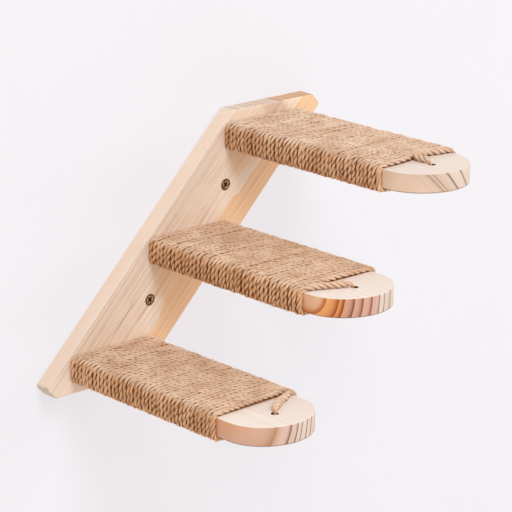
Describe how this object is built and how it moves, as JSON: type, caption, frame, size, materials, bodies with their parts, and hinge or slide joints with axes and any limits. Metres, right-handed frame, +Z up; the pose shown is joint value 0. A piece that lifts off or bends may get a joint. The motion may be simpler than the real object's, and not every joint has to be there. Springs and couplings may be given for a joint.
{
  "type": "wall-mounted cat ladder",
  "caption": "Slanted pine plank for a wall, carrying level round-nosed steps wound with jute rope, for a cat to climb.",
  "frame": {"origin": "centre of the plank's back face, on the wall", "axes": "+Y into the wall, +Z up, +X along the wall towards the plank's upper end; the steps stand out along -Y"},
  "size_m": [0.3464, 0.3153, 0.2404],
  "materials": {
    "pine": "planed pale pine with fine grain and an orange heartwood band, unvarnished",
    "jute": "three-strand twisted jute, matt and slightly hairy",
    "antique_brass": "dark antique brass, satin",
    "zinc": "zinc plated, satin",
    "nylon": "moulded pale grey nylon"
  },
  "bodies": {
    "root": {"back_plank": "pine", "top_step": "pine", "middle_step": "pine", "bottom_step": "pine", "top_rope": "jute", "middle_rope": "jute", "bottom_rope": "jute", "upper_wall_screw": "antique_brass", "lower_wall_screw": "antique_brass", "upper_wall_plug": "nylon", "lower_wall_plug": "nylon", "top_step_left_screw": "zinc", "top_step_right_screw": "zinc", "middle_step_left_screw": "zinc", "middle_step_right_screw": "zinc", "bottom_step_left_screw": "zinc", "bottom_step_right_screw": "zinc"}
  },
  "joints": []
}
